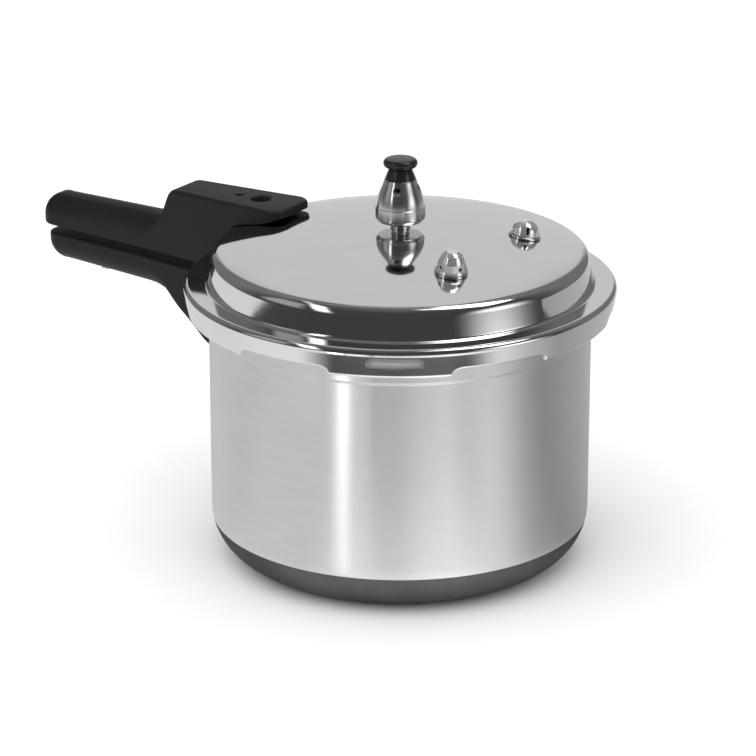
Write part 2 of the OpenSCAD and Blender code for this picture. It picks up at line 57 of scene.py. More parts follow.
POT_HIGH = box_mm("pot_body")[1]
LID_LOW, LID_HIGH = box_mm("lid_shell")
GRIP_LOW, GRIP_HIGH = box_mm("lid_handle")
POT_GRIP_LOW = box_mm("pot_handle")[0]
WEIGHT_LOW, WEIGHT_HIGH = box_mm("regulator_weight")
KNOB_HIGH = box_mm("regulator_knob")[1]
COLLAR_LOW, COLLAR_HIGH = box_mm("regulator_collar")

SIDES = 288                     # steps round a large turned surface
SMALL_SIDES = 96                # steps round a small one
DRILL_SIDES = 48                # steps round a drilled hole
LUGS = 6
LUG_PITCH = 360 / LUGS

# lid: centres and radii of the arcs that make its section
DOME_R = 440
DOME_Z = LID_HIGH.z - DOME_R    # height of the dome's centre
SHEET = 1.9                     # thickness of the lid's sheet
SHOULDER_R = 7
SHOULDER_AT = 101.8             # radius at which the shoulder's rounding is centred
SHOULDER = (SHOULDER_AT, DOME_Z + math.sqrt((DOME_R - SHOULDER_R) ** 2 - SHOULDER_AT ** 2))
SHOULDER_TOP = math.degrees(math.atan2(SHOULDER[1] - DOME_Z, SHOULDER[0]))
WALL_LEAN = 9                   # degrees that the lid's wall leans outwards
FOOT_R = 2.2
LEDGE_Z = 165.4
FOOT = (SHOULDER[0] + (SHOULDER_R + FOOT_R) / math.cos(math.radians(WALL_LEAN))
        + (SHOULDER[1] - LEDGE_Z - FOOT_R) * math.tan(math.radians(WALL_LEAN)),
        LEDGE_Z + FOOT_R)
RIM_ROUND = 3.2
RIM = (LID_HIGH.x - RIM_ROUND, LEDGE_Z - RIM_ROUND)
SKIRT_LEAN = 9.8                # degrees that the skirt leans inwards
SKIRT_GAP_Z = 152.5             # edge of the skirt between two lugs
LUG_Z = LID_LOW.z
LUG_HALF = 15.95                # degrees from a lug's middle to its lower corner
LUG_REACH = 3.5                 # degrees over which the edge sweeps up beside a lug
LIP_R = 114.5
LIP_T = 1.7
BEND_R = 2.1                    # outer radius of the bend between skirt and lip
WINDOW_AZ = -58.7
WINDOW_Z = 157.4
WINDOW_LEN = 31.6
WINDOW_H = 5.8
GASKET_STEP_Z = 157.3           # gasket painted darker above, paler below: painted shade and light

# pot
POT_R = 110
POT_WALL = 2.4
BASE_T = 3.6
BASE_ROUND = 30
BASE_FINISH_Z = 24.6            # where the polished wall ends and the dull base begins
STEP_Z = 140.4
STEP_OUT = 1.4
NECK_R = 113.4
TAB_Z = 151.2
TAB_HALF = 13.6                 # degrees from a tab's middle to its end

# fittings on the lid, by their distance from the pot's axis
INDICATOR_R = 97
VALVE_R = 71
VALVE_AZ = 34                   # degrees from the +X axis to each valve
VENT_HOLE_R = 4.35
VALVE_HOLE_R = 4.75
INDICATOR_HOLE_R = 4

# rivets and screws of the handles
RIVET_HOLE_R = 2.1
RIVET_Y = 6.5                   # from the handles' middle plane to each rivet
LID_RIVET_Z = (173.8,)
POT_RIVET_Z = (111, 127)
SCREW_SINK_R = 4.6
SCREW_HOLE_R = 2.7
LID_SCREW_X = (165, 214)
POT_SCREW_X = (60, 100)         # along the leaning tongue of the pot's bracket
GRIP_HALF_W = 13
GRIP_END_ROUND = 9


# ------------------------------------------------------------------ outlines

def arc(centre, radius, start, end, steps):
    """Points on a circular arc, with the angles in degrees."""
    turns = [math.radians(start + (end - start) * i / steps) for i in range(steps + 1)]
    return [(centre[0] + radius * math.cos(t), centre[1] + radius * math.sin(t)) for t in turns]


def rounded(corners, steps=5, closed=True):
    """An outline from corners (x, y, radius), each rounded by its own radius if it has one."""
    path = []
    for i, corner in enumerate(corners):
        here = Vector(corner[:2])
        ends = not closed and i in (0, len(corners) - 1)
        if len(corner) < 3 or ends:
            path.append(tuple(here))
            continue
        before = (Vector(corners[i - 1][:2]) - here).normalized()
        after = (Vector(corners[(i + 1) % len(corners)][:2]) - here).normalized()
        half = before.angle(after) / 2
        centre = here + (before + after).normalized() * corner[2] / math.sin(half)
        first = here + before * corner[2] / math.tan(half) - centre
        last = here + after * corner[2] / math.tan(half) - centre
        start = math.degrees(math.atan2(first.y, first.x))
        sweep = math.degrees(math.atan2(last.y, last.x)) - start
        sweep = (sweep + 180) % 360 - 180
        path += arc(centre, corner[2], start, start + sweep, steps)
    return path


def smoothstep(low, high, value):
    t = min(1, max(0, (value - low) / (high - low)))
    return t * t * (3 - 2 * t)


def line_at(low, high, value):
    """Height on the straight line through two points (x, y), held level beyond its ends."""
    t = min(1, max(0, (value - low[0]) / (high[0] - low[0])))
    return low[1] + (high[1] - low[1]) * t


def polyline_at(points, value):
    for a, b in zip(points, points[1:]):
        if value <= b[0]:
            return line_at(a, b, value)
    return points[-1][1]


# ------------------------------------------------------------------ meshes

def smooth(mesh, sharp):
    mesh.polygons.foreach_set("use_smooth", [True] * len(mesh.polygons))
    mesh.set_sharp_from_angle(angle=math.radians(sharp))


def make_piece(name, points, faces, sharp=35, place=None):
    """A new object from points in millimetres, with doubles merged and normals outwards."""
    mesh = bpy.data.meshes.new(name)
    mesh.from_pydata([Vector(p) * MM for p in points], [], faces)
    if place:
        mesh.transform(place)
    work = bmesh.new()
    work.from_mesh(mesh)
    bmesh.ops.remove_doubles(work, verts=work.verts, dist=1e-7)
    bmesh.ops.recalc_face_normals(work, faces=work.faces)
    work.to_mesh(mesh)
    work.free()
    smooth(mesh, sharp)
    piece = bpy.data.objects.new(name, mesh)
    bpy.context.scene.collection.objects.link(piece)
    return piece


def net(rows, columns, loop_rows=True, loop_columns=True):
    """Quads of a net of points stored row by row."""
    faces = []
    for i in range(rows if loop_rows else rows - 1):
        for j in range(columns if loop_columns else columns - 1):
            i2, j2 = (i + 1) % rows, (j + 1) % columns
            faces.append((i * columns + j, i * columns + j2, i2 * columns + j2, i2 * columns + j))
    return faces


def revolve(name, section_at, angles, sharp=35, place=None):
    """Turns a closed section about Z. The section may change with the angle."""
    points = []
    for angle in angles:
        c, s = math.cos(math.radians(angle)), math.sin(math.radians(angle))
        section = section_at(angle)
        points += [(r * c, r * s, z) for r, z in section]
    return make_piece(name, points, net(len(angles), len(section)), sharp, place)


def even_angles(count):
    return [360 * i / count for i in range(count)]


def lathe(name, section, sides=SMALL_SIDES, sharp=35, place=None):
    return revolve(name, lambda angle: section, even_angles(sides), sharp, place)


def prism(name, outline, low, high, place=None):
    """An outline in X and Y pulled from one height to another."""
    count = len(outline)
    points = [(x, y, z) for z in (low, high) for x, y in outline]
    faces = net(2, count, loop_rows=False)
    faces += [tuple(range(count))[::-1], tuple(range(count, 2 * count))]
    return make_piece(name, points, faces, place=place)


def cut(piece, cutters, sharp=35):
    """Cuts the cutters out of the piece and removes them."""
    for cutter in cutters:
        change = piece.modifiers.new("cut", "BOOLEAN")
        change.object = cutter
        change.operation = "DIFFERENCE"
        change.solver = "MANIFOLD"
    seen = bpy.context.evaluated_depsgraph_get()
    mesh = bpy.data.meshes.new_from_object(piece.evaluated_get(seen))
    piece.modifiers.clear()
    piece.data = mesh
    smooth(mesh, sharp)
    for cutter in cutters:
        bpy.data.objects.remove(cutter)


def place_at(azimuth, lean, lift, start=0):
    """Frame turned to an azimuth and leaned outwards, for a piece square to the dome."""
    turn = Matrix.Rotation(math.radians(azimuth), 4, "Z")
    tilt = Matrix.Rotation(math.radians(lean), 4, "Y")
    base = Matrix.Translation((0, 0, start * MM))
    return turn @ base @ tilt @ Matrix.Translation((0, 0, lift * MM))


def on_dome(azimuth, radius):
    return place_at(azimuth, math.degrees(math.asin(radius / DOME_R)), DOME_R, DOME_Z)


def radial(azimuth, height):
    """Frame whose Z axis points outwards from the pot's axis at a height."""
    turn = Matrix.Rotation(math.radians(azimuth), 4, "Z")
    return turn @ Matrix.Translation((0, 0, height * MM)) @ Matrix.Rotation(math.pi / 2, 4, "Y")


def drill(radius, low, high, place=None, flare=0, flare_depth=0):
    """A round cutter from one height to another; flare widens its upper end."""
    section = [(0, low), (radius, low), (radius, high - flare_depth),
               (radius + flare, high), (radius + flare, high + 4), (0, high + 4)]
    if not flare:
        section = [(0, low), (radius, low), (radius, high), (0, high)]
    return lathe("cutter", section, DRILL_SIDES, place=place)


def rivet_holes(heights):
    """Cutters for a pair of rivets through the wall beside the handles, at each height."""
    spots = [(y, z) for y in (-RIVET_Y, RIVET_Y) for z in heights]
    return [drill(RIVET_HOLE_R, 90, 120, Matrix.Translation((0, y * MM, 0)) @ radial(180, z))
            for y, z in spots]


# ------------------------------------------------------------------ materials

class Shader:
    """A small helper that builds one node material."""

    def __init__(self, name):
        self.material = bpy.data.materials.new(name)
        self.material.use_nodes = True
        self.tree = self.material.node_tree
        self.surface = self.tree.nodes["Principled BSDF"]
        self.coords = self.add("ShaderNodeTexCoord").outputs["Object"]

    def add(self, kind, **settings):
        node = self.tree.nodes.new(kind)
        for key, value in settings.items():
            setattr(node, key, value)
        return node

    def put(self, socket, value):
        if isinstance(value, bpy.types.NodeSocket):
            self.tree.links.new(value, socket)
        else:
            socket.default_value = value

    def scaled(self, scale):
        node = self.add("ShaderNodeMapping")
        self.put(node.inputs["Vector"], self.coords)
        node.inputs["Scale"].default_value = scale
        return node.outputs["Vector"]

    def noise(self, scale, stretch=(1, 1, 1), detail=3, roughness=0.55):
        """Noise whose scale is in cycles a metre, stretched by a factor along each axis."""
        node = self.add("ShaderNodeTexNoise")
        self.put(node.inputs["Vector"], self.scaled(stretch))
        node.inputs["Scale"].default_value = scale
        node.inputs["Detail"].default_value = detail
        node.inputs["Roughness"].default_value = roughness
        return node.outputs["Fac"]

    def rings(self, scale, detail=4):
        """Noise that changes only with the distance from the Z axis, like a turned finish."""
        flat = self.scaled((1, 1, 0))
        length = self.add("ShaderNodeVectorMath", operation="LENGTH")
        self.put(length.inputs[0], flat)
        node = self.add("ShaderNodeTexNoise", noise_dimensions="1D")
        self.put(node.inputs["W"], length.outputs["Value"])
        node.inputs["Scale"].default_value = scale
        node.inputs["Detail"].default_value = detail
        return node.outputs["Fac"]

    def cells(self, scale, feature="F1"):
        node = self.add("ShaderNodeTexVoronoi", feature=feature)
        self.put(node.inputs["Vector"], self.coords)
        node.inputs["Scale"].default_value = scale
        return node.outputs["Distance"]

    def span(self, value, low, high, start=0.0, end=1.0):
        """Maps start..end of a value onto low..high."""
        node = self.add("ShaderNodeMapRange")
        self.put(node.inputs["Value"], value)
        for key, number in (("From Min", start), ("From Max", end),
                            ("To Min", low), ("To Max", high)):
            node.inputs[key].default_value = number
        return node.outputs["Result"]

    def math(self, operation, a, b):
        node = self.add("ShaderNodeMath", operation=operation)
        self.put(node.inputs[0], a)
        self.put(node.inputs[1], b)
        return node.outputs["Value"]

    def mix(self, factor, first, second):
        node = self.add("ShaderNodeMix", data_type="RGBA")
        self.put(node.inputs["Factor"], factor)
        self.put(node.inputs["A"], first)
        self.put(node.inputs["B"], second)
        return node.outputs["Result"]

    def bump(self, height, depth, before=None):
        """Relief whose full height is depth, in millimetres."""
        node = self.add("ShaderNodeBump")
        node.inputs["Distance"].default_value = depth * MM
        self.put(node.inputs["Height"], height)
        if before:
            self.put(node.inputs["Normal"], before)
        return node.outputs["Normal"]

    def set(self, **values):
        names = {"colour": "Base Color", "rough": "Roughness", "metal": "Metallic",
                 "normal": "Normal", "ior": "IOR", "aniso": "Anisotropic",
                 "turn": "Anisotropic Rotation", "tangent": "Tangent",
                 "specular": "Specular IOR Level", "tint": "Specular Tint", "coat": "Coat Weight",
                 "coat_rough": "Coat Roughness", "subsurface": "Subsurface Weight"}
        for key, value in values.items():
            self.put(self.surface.inputs[names[key]], value)
        return self.material


def grey(level, warm=0.0):
    return (level * (1 + warm), level, level * (1 - warm), 1)


def mirror_metal(name, level, rough=0.05, warm=0.0, turned=True):
    """Polished sheet: fine turning rings, a few hairline scratches and slow waviness."""
    s = Shader(name)
    cloud = s.noise(35, detail=4)
    hair = s.noise(260, stretch=(1, 7, 2), detail=2)
    scratch = s.span(hair, 0, 1, 0.60, 0.68)
    lines = s.rings(9000) if turned else s.noise(5000, stretch=(0.02, 0.02, 1))
    base = s.span(cloud, rough * 0.7, rough * 1.5, 0.3, 0.7)
    total = s.math("ADD", base, s.math("MULTIPLY", scratch, 0.02))
    normal = s.bump(lines, 0.0006)
    normal = s.bump(s.noise(18, detail=1), 0.02, normal)
    tone = s.mix(s.span(cloud, 0, 1, 0.35, 0.65), grey(level * 0.97, warm), grey(level, warm))
    return s.set(colour=tone, metal=1.0, rough=total, normal=normal)


def brushed_metal(name, level, rough, aniso, warm=0.0, along=(25, 25, 2600), tangent=True):
    """Satin sheet brushed round the pot: the highlight spreads up and down the wall."""
    s = Shader(name)
    lines = s.noise(1, stretch=along, detail=5, roughness=0.7)
    cloud = s.noise(14, detail=3)
    marks = s.noise(60, stretch=(1, 1, 6), detail=4)
    rough_map = s.math("ADD", s.span(lines, -0.03, 0.03, 0.3, 0.7),
                       s.span(cloud, rough * 0.93, rough * 1.07, 0.3, 0.7))
    tone = s.mix(s.span(marks, 0, 1, 0.3, 0.7), grey(level * 0.96, warm), grey(level, warm))
    normal = s.bump(lines, 0.0012)
    s.set(colour=tone, metal=1.0, rough=rough_map, normal=normal, aniso=aniso)
    if tangent:
        axis = s.add("ShaderNodeTangent", direction_type="RADIAL", axis="Z")
        s.set(tangent=axis.outputs["Tangent"], turn=0.25)
    return s.material


def turned_chrome(name, level, rough, metal=1.0):
    """Plated turned parts: fine tool lines spread the highlight along the part's own axis."""
    s = Shader(name)
    lines = s.noise(1, stretch=(40, 40, 9000), detail=4, roughness=0.6)
    cloud = s.noise(90, detail=3)
    tone = s.mix(s.span(cloud, 0, 1, 0.3, 0.7), grey(level * 0.95), grey(level))
    rough_map = s.span(cloud, rough * 0.85, rough * 1.15, 0.3, 0.7)
    axis = s.add("ShaderNodeTangent", direction_type="RADIAL", axis="Z")
    return s.set(colour=tone, metal=metal, rough=rough_map, normal=s.bump(lines, 0.0008),
                 aniso=0.85, turn=0.25, tangent=axis.outputs["Tangent"])


def dull_metal(name, level, rough=0.5, warm=0.03):
    """Etched base: darker, blotchy, with a faint turned grain and small pits."""
    s = Shader(name)
    cloud = s.noise(22, detail=6, roughness=0.65)
    grain = s.rings(2600)
    pits = s.span(s.cells(900), 1, 0, 0.0, 0.28)
    tone = s.mix(s.span(cloud, 0, 1, 0.32, 0.68), grey(level * 0.75, warm), grey(level * 1.2, warm))
    normal = s.bump(grain, 0.004)
    normal = s.bump(pits, 0.01, normal)
    rough_map = s.span(cloud, rough * 0.85, rough * 1.15, 0.3, 0.7)
    return s.set(colour=tone, metal=0.7, rough=rough_map, normal=normal, specular=0.2,
                 tint=grey(0.25))


def moulded_plastic(name, level, rough, grain=0.012, specular=0.4):
    """Moulded phenolic: fine eggshell grain, faint flow marks and dusty scuffs."""
    s = Shader(name)
    pebble = s.noise(2600, detail=3)
    flow = s.noise(30, stretch=(0.35, 1, 1), detail=4)
    scuff = s.span(s.noise(120, stretch=(3, 1, 1), detail=6, roughness=0.75), 0, 1, 0.58, 0.75)
    tone = s.mix(s.span(flow, 0, 1, 0.3, 0.7), grey(level * 0.85), grey(level * 1.15))
    tone = s.mix(s.math("MULTIPLY", scuff, 0.35), tone, grey(level * 2.2))
    rough_map = s.math("ADD", s.span(flow, rough * 0.9, rough * 1.1, 0.3, 0.7),
                       s.math("MULTIPLY", scuff, 0.08))
    normal = s.bump(pebble, grain)
    normal = s.bump(flow, 0.03, normal)
    return s.set(colour=tone, rough=rough_map, normal=normal, specular=specular)


def rubber(name, colour, rough=0.5):
    """Silicone: slightly soft, with dust and a faint mould texture. Above the gasket's step it
    is painted darker and below it paler: painted shade and light."""
    s = Shader(name)
    cloud = s.noise(60, detail=4)
    tone = s.mix(s.span(cloud, 0, 1, 0.3, 0.7), [c * 0.9 for c in colour[:3]] + [1], colour)
    # Painted shade and light: above the gasket's step the colour is darkened to 0.6, below it stays
    # pale.
    height = s.add("ShaderNodeSeparateXYZ")
    s.put(height.inputs["Vector"], s.coords)
    painted_shade_above = s.span(height.outputs["Z"], 0, 1,
                   (GASKET_STEP_Z - 0.1) * MM, (GASKET_STEP_Z + 0.1) * MM)
    tone = s.mix(painted_shade_above, tone, [c * 0.6 for c in colour[:3]] + [1])
    normal = s.bump(s.noise(1800, detail=2), 0.01)
    rough_map = s.span(cloud, rough * 0.85, rough * 1.15, 0.3, 0.7)
    return s.set(colour=tone, rough=rough_map, normal=normal, subsurface=0.15)


LID_METAL = mirror_metal("lid_metal", 0.84, 0.055)
POT_METAL = brushed_metal("pot_metal", 0.78, 0.33, 0.9)
POT_INSIDE = brushed_metal("pot_inside_metal", 0.7, 0.36, 0.7)
BASE_METAL = dull_metal("pot_base_metal", 0.12)
RACK_METAL = brushed_metal("rack_metal", 0.7, 0.3, 0.0, along=(900, 30, 900), tangent=False)
CHROME = turned_chrome("chrome", 0.8, 0.2)
CAP_CHROME = turned_chrome("cap_chrome", 0.88, 0.16, metal=0.86)
STEEL = brushed_metal("zinc_steel", 0.5, 0.32, 0.0, along=(60, 1500, 60), tangent=False)
SPRING_STEEL = mirror_metal("spring_steel", 0.6, 0.16, turned=False)
PHENOLIC = moulded_plastic("black_phenolic", 0.009, 0.5, specular=0.3)
KNOB_BLACK = moulded_plastic("knob_phenolic", 0.012, 0.2, grain=0.002, specular=0.5)
SILICONE = rubber("silicone", (0.44, 0.42, 0.42, 1))
PIN_STEEL = mirror_metal("pin_steel", 0.66, 0.12, turned=False)

CAD_LOOKS = {
    "pot_bracket": STEEL, "pot_bracket_rivets": STEEL, "pot_handle_screws": STEEL,
    "lid_bracket": STEEL, "lid_bracket_rivets": STEEL, "lid_handle_screws": STEEL,
    "canning_rack": RACK_METAL, "rack_feet": RACK_METAL, "sealing_gasket": SILICONE,
    "vent_pipe": CHROME, "vent_washer": SILICONE, "vent_nut": CHROME,
    "regulator_clip": SPRING_STEEL, "regulator_needle": PIN_STEEL,
    "relief_seat": CHROME, "relief_washer": SILICONE, "relief_nut": CHROME,
    "relief_poppet": PIN_STEEL, "relief_spring": SPRING_STEEL,
    "safety_seat": CHROME, "safety_washer": SILICONE, "safety_nut": CHROME,
    "safety_poppet": PIN_STEEL, "safety_spring": SPRING_STEEL,
    "pin_grommet": SILICONE, "pressure_pin": PIN_STEEL, "pin_clip": SPRING_STEEL,
}


def dress(piece, material):
    piece.data.materials.clear()
    piece.data.materials.append(material)


def hand_over(piece, body, slot, material, *nodes):
    """Gives a piece its finish and body, and hides the CAD nodes it stands for."""
    if material:
        dress(piece, material)
    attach(piece, body)
    if nodes:
        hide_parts(*nodes)


# ------------------------------------------------------------------ lid

def skirt_r(z):
    """Outer radius of the skirt at a height."""
    lean = math.radians(SKIRT_LEAN)
    return RIM[0] + RIM_ROUND / math.cos(lean) - (RIM[1] - z) * math.tan(lean)


def lid_top(inset):
    """Lid section from the axis to the start of the skirt, moved inwards by the inset."""
    return (arc((0, DOME_Z), DOME_R - inset, 90, SHOULDER_TOP, 26)[:-1]
            + arc(SHOULDER, SHOULDER_R - inset, SHOULDER_TOP, WALL_LEAN, 14)
            + arc(FOOT, FOOT_R + inset, 180 + WALL_LEAN, 270, 8)
            + arc(RIM, RIM_ROUND - inset, 90, -SKIRT_LEAN, 10))


def lug_edge(angle):
    """Height of the skirt's edge and inner radius of its lip, at an angle round the lid."""
    off = abs((angle + LUG_PITCH / 2) % LUG_PITCH - LUG_PITCH / 2)
    climb = min(1, max(0, (off - LUG_HALF) / LUG_REACH))
    rise = math.sqrt(1 - (1 - climb) ** 2)
    low = LUG_Z + (SKIRT_GAP_Z - LUG_Z) * rise
    short_lip = skirt_r(low) - BEND_R - 0.9
    retreat = smoothstep(LUG_HALF - 2.2, LUG_HALF - 0.2, off)
    return low, LIP_R + (short_lip - LIP_R) * retreat


def lid_section(angle):
    low, lip_r = lug_edge(angle)
    lean = math.radians(SKIRT_LEAN)
    bend_z = low + BEND_R
    bend = (skirt_r(bend_z) - BEND_R / math.cos(lean), bend_z)
    flank = [(skirt_r(z), z) for z in (RIM[1] - 1, bend_z + 0.6)]
    outer = lid_top(0) + flank + arc(bend, BEND_R, -SKIRT_LEAN, -90, 6)
    tip = arc((lip_r + LIP_T / 2, low + LIP_T / 2), LIP_T / 2, -90, -270, 6)
    inner = arc(bend, BEND_R - LIP_T, -90, -SKIRT_LEAN, 4) + lid_top(SHEET)[::-1]
    return outer + tip + inner


def lug_angles():
    """Angles round the lid, packed closer where the edge sweeps up beside each lug."""
    angles = set(even_angles(SIDES))
    for i in range(LUGS):
        for side in (-1, 1):
            start = i * LUG_PITCH + side * (LUG_HALF - 2.6)
            for j in range(46):
                angles.add(round((start + side * j * 0.15) % 360, 4))
    spaced = [min(angles)]
    for angle in sorted(angles):
        if angle - spaced[-1] > 0.06:
            spaced.append(angle)
    return spaced


def window_cutter():
    """Slot that follows the skirt, with its outer edge eased."""
    lean = math.radians(SKIRT_LEAN)
    middle = skirt_r(WINDOW_Z)
    half, end_r = WINDOW_LEN / 2, WINDOW_H / 2
    right = arc((half - end_r, 0), end_r, -90, 90, 14)
    left = arc((end_r - half, 0), end_r, 90, 270, 14)
    rows = []
    for depth, ease in ((-5, 0), (-0.3, 0), (-0.1, 0.1), (0.2, 0.4), (2, 0.6)):
        for x, y in right + left:
            wide = 1 + ease / half
            tall = 1 + ease / end_r
            turn = math.radians(WINDOW_AZ) + x * wide / middle
            r = middle + y * tall * math.sin(lean) + depth * math.cos(lean)
            z = WINDOW_Z + y * tall * math.cos(lean) - depth * math.sin(lean)
            rows.append((r * math.cos(turn), r * math.sin(turn), z))
    count = len(right + left)
    faces = net(5, count, loop_rows=False)
    faces += [tuple(range(count)), tuple(range(4 * count, 5 * count))]
    return make_piece("cutter", rows, faces)


def build_lid():
    shell = revolve("lid", lid_section, lug_angles(), sharp=50)
    holes = [window_cutter(), drill(VENT_HOLE_R, 180, 210)]
    holes += [drill(VALVE_HOLE_R, -10, 10, on_dome(side * VALVE_AZ, VALVE_R))
              for side in (-1, 1)]
    to_pin = Matrix.Translation((-INDICATOR_R * MM, 0, 0))
    holes.append(drill(INDICATOR_HOLE_R, 170, 210, to_pin))
    cut(shell, holes + rivet_holes(LID_RIVET_Z), sharp=34)
    hand_over(shell, "lid", "lid_aluminium", LID_METAL, "lid_shell")


# ------------------------------------------------------------------ pot

def pot_section(angle):
    off = abs((angle + LUG_PITCH / 2) % LUG_PITCH - LUG_PITCH / 2)
    rim = POT_HIGH.z
    tab = 1 - smoothstep(TAB_HALF - 1.2, TAB_HALF, off)
    out = NECK_R + (POT_HIGH.x - NECK_R) * tab
    ease = 0.5 + 0.9 * tab
    flat = POT_R - BASE_ROUND
    start = math.degrees(math.asin((BASE_FINISH_Z - BASE_ROUND) / BASE_ROUND))
    base = arc((flat, BASE_ROUND), BASE_ROUND, -90, start, 16)
    crease = base.pop()
    outside = [(0, 0.6), (flat - 12, 0.6), (flat - 9, 0)] + base
    outside += [(crease[0] - 0.16, crease[1] - 0.1), (crease[0], crease[1] + 0.1)]
    outside += arc((flat, BASE_ROUND), BASE_ROUND, start + 1.2, 0, 6)
    step = rounded([(POT_R, BASE_ROUND + 5), (POT_R, STEP_Z, 1.6),
                    (POT_R + STEP_OUT, STEP_Z + 1.3, 1.6), (POT_R + STEP_OUT, TAB_Z, 0.4),
                    (out, TAB_Z, ease), (out, rim, ease),
                    (POT_R - POT_WALL, rim, 1.1), (POT_R - POT_WALL, BASE_ROUND + 5)],
                   5, closed=False)
    inner = BASE_ROUND - BASE_T
    bowl = arc((POT_R - POT_WALL - inner, BASE_ROUND), inner, 0, -90, 14)
    return outside + step + bowl + [(0, BASE_T)]


def tab_angles():
    angles = set(even_angles(SIDES))
    for i in range(LUGS):
        for side in (-1, 1):
            for j in range(12):
                angles.add(round((i * LUG_PITCH + side * (TAB_HALF - 1.5 + j * 0.15)) % 360, 4))
    return sorted(angles)


def build_pot():
    pot = revolve("pot", pot_section, tab_angles(), sharp=50)
    cut(pot, rivet_holes(POT_RIVET_Z), sharp=50)
    pot.data.materials.clear()
    for material in (POT_METAL, BASE_METAL, POT_INSIDE):
        pot.data.materials.append(material)
    inside_r = (POT_R - POT_WALL / 2) * MM
    for face in pot.data.polygons:
        centre = face.center
        radius = math.hypot(centre.x, centre.y)
        inward = face.normal.x * centre.x + face.normal.y * centre.y < 0 or face.normal.z > 0.2
        if radius < inside_r and inward and centre.z > BASE_T * 0.9 * MM:
            face.material_index = 2
        elif centre.z < BASE_FINISH_Z * MM:
            face.material_index = 1
    hand_over(pot, "pot", "pot_aluminium", None, "pot_body")


# ------------------------------------------------------------------ handles

def skeleton_loft(name, outline, spine, top, bottom, top_round, bottom_round):
    """A moulded bar. Its plan outline closes in on a spine along Y = 0 while the top and the
    underside curve over by their own rounding, which may change along the bar."""
    points = []
    rings = 14

    def layer(share, height, round_at, sign):
        for x, y in outline:
            middle = min(spine[1], max(spine[0], x))
            px, py = x + (middle - x) * share, y * (1 - share)
            depth = math.hypot(x - middle, y) * share
            wide = min(round_at(px), math.hypot(x - middle, y))
            inside = max(0, wide - depth)
            drop = wide - math.sqrt(max(0, wide ** 2 - inside ** 2))
            points.append((px, py, height(px) - sign * drop))

    shares = [1 - math.sqrt(1 - (i / rings) ** 2) for i in range(rings)] + [1]
    shares = [s * s ** 0.35 for s in shares]
    for share in reversed(shares):
        layer(share, top, top_round, 1)
    for share in shares:
        layer(share, bottom, bottom_round, -1)
    rows = 2 * len(shares)
    mirrored = [(-x, y, z) for x, y, z in points]
    return make_piece(name, mirrored, net(rows, len(outline), loop_rows=False), sharp=60)


def bar_outline(nose, corner, sides, end_r, end_round, steps=110):
    """Plan outline: a flat nose with round corners, sides that follow a list of
    (x, half width), and a round end."""
    start, stop = sides[0][0], end_r - end_round
    wide = sides[0][1]
    front = [(nose, -wide), (nose, wide)]
    if corner:
        front = arc((nose + corner, corner - wide), corner, 270, 180, 12)
        front += [(nose, y) for y in (-wide / 4, 0, wide / 4)]
        front += arc((nose + corner, wide - corner), corner, 180, 90, 12)
    xs = [start + (stop - start) * i / steps for i in range(1, steps)]
    upper = [(x, polyline_at(sides, x)) for x in xs]
    half = polyline_at(sides, stop)
    end = arc((stop, half - end_round), end_round, 90, 0, 10)
    end += arc((stop, end_round - half), end_round, 0, -90, 10)
    return front + upper + end + [(x, -y) for x, y in reversed(upper)]


def build_lid_handle():
    end = -GRIP_LOW.x
    top_z, grip_z = GRIP_HIGH.z, 178.3
    nose, corner, half = 72, 9, 18.5
    sides = [(nose + corner, half), (150.3, 14), (172, 13.1), (end, GRIP_HALF_W)]
    sweep = rounded([(60, top_z), (153.6, top_z, 7), (162, grip_z, 13), (300, grip_z)],
                    10, closed=False)

    def top(x):
        return polyline_at(sweep, x)

    def bottom(x):
        return line_at((126, 154.6), (250, 159.5), x)

    def top_round(x):
        return 2.2 + 10.8 * smoothstep(148, 176, x)

    outline = bar_outline(nose, corner, sides, end, GRIP_END_ROUND)
    spine = (nose + half, end - GRIP_HALF_W)
    handle = skeleton_loft("lid_handle_moulding", outline, spine, top, bottom,
                           top_round, lambda x: 1.6)
    gap = 0.4
    lift = [(0, 130), (0, 193.2), (74, 192.6)] + [p for p in lid_top(-gap) if p[0] > 86]
    lift += [(RIM[0] + RIM_ROUND + gap, 130)]
    holes = [lathe("cutter", lift, SIDES)]
    to_pin = Matrix.Translation((-INDICATOR_R * MM, 0, 0))
    holes.append(drill(5.5, 150, top_z, to_pin, flare=0.7, flare_depth=0.7))
    for x in LID_SCREW_X:
        there = Matrix.Translation((-x * MM, 0, 0))
        holes.append(drill(SCREW_SINK_R, 140, 162.1, there))
        holes.append(drill(SCREW_HOLE_R, 150, 174.6, there))
    holes.append(prism("cutter", [(-224, -10.4), (-108, -10.4), (-108, 10.4), (-224, 10.4)],
                       167.4, 170.5))
    holes.append(prism("cutter", [(-117, -13), (-107, -13), (-107, 13), (-117, 13)], 163, 177.6))
    mark = [(-116, 0), (-110, -3.6), (-110, 3.6)]
    holes.append(prism("cutter", mark, top_z - 0.7, top_z + 2))
    cut(handle, holes, sharp=48)
    hand_over(handle, "lid", "handle_black", PHENOLIC, "lid_handle")


